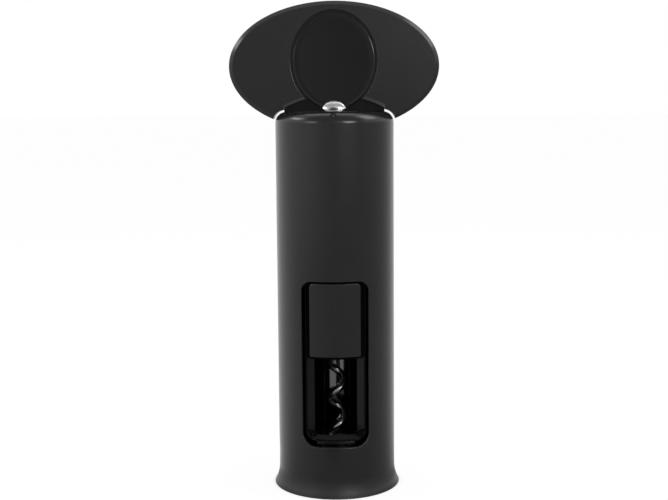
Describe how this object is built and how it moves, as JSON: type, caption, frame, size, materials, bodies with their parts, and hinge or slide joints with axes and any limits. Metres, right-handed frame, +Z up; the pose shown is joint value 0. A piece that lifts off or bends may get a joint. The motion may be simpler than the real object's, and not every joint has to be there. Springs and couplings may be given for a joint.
{
  "type": "corkscrew",
  "caption": "Tall satin black self-pulling corkscrew: a tube with a flared foot and a front window, a helical worm inside, an oval turning handle and a sliding thumb pad.",
  "frame": {"origin": "centre of the foot, on the surface it stands on", "axes": "+Z up along the worm's axis; the window faces -Y; the handle's length runs along X at rest"},
  "size_m": [0.0844, 0.0522, 0.1983],
  "materials": {
    "satin_black": "fine satin, lightly textured",
    "gloss_black": "high gloss",
    "dark_lining": "semi-matt moulded",
    "chrome": "polished",
    "coated_wire": "smooth dark non-stick coating",
    "steel": "turned",
    "plate_metal": "as cast",
    "bearing_bronze": "sintered",
    "soft_rubber": "matt"
  },
  "bodies": {
    "body": {"outer_shell": "satin_black", "inner_sleeve": "dark_lining", "window_frame": "gloss_black", "neck_guide_ring": "dark_lining", "base_screws": "steel", "bearing_plate": "plate_metal", "shaft_bush": "bearing_bronze", "thrust_washer_upper": "steel", "cap_screws": "steel", "index_pin": "steel"},
    "handle": {"handle_front": "satin_black", "handle_back": "satin_black", "handle_core": "gloss_black", "thumb_disc_front": "satin_black", "thumb_disc_back": "satin_black", "handle_screws": "steel", "chrome_bead": "chrome", "spindle": "steel", "tang_pins": "steel", "worm": "coated_wire", "worm_pin": "steel", "thrust_washer_lower": "steel", "retaining_clip": "steel"},
    "carriage": {"carriage_ring": "dark_lining", "lip_seal": "soft_rubber", "shutter_plate": "dark_lining", "thumb_pad": "satin_black", "pad_screws": "steel", "friction_spring": "steel"}
  },
  "joints": [
    {"name": "handle_turn", "type": "hinge", "parent": "body", "child": "handle", "pos_m": [0, 0, 0], "axis": [0, 0, 1], "continuous": true},
    {"name": "carriage_slide", "type": "slide", "parent": "body", "child": "carriage", "axis": [0, 0, 1], "range_m": [-0.031, 0]}
  ]
}
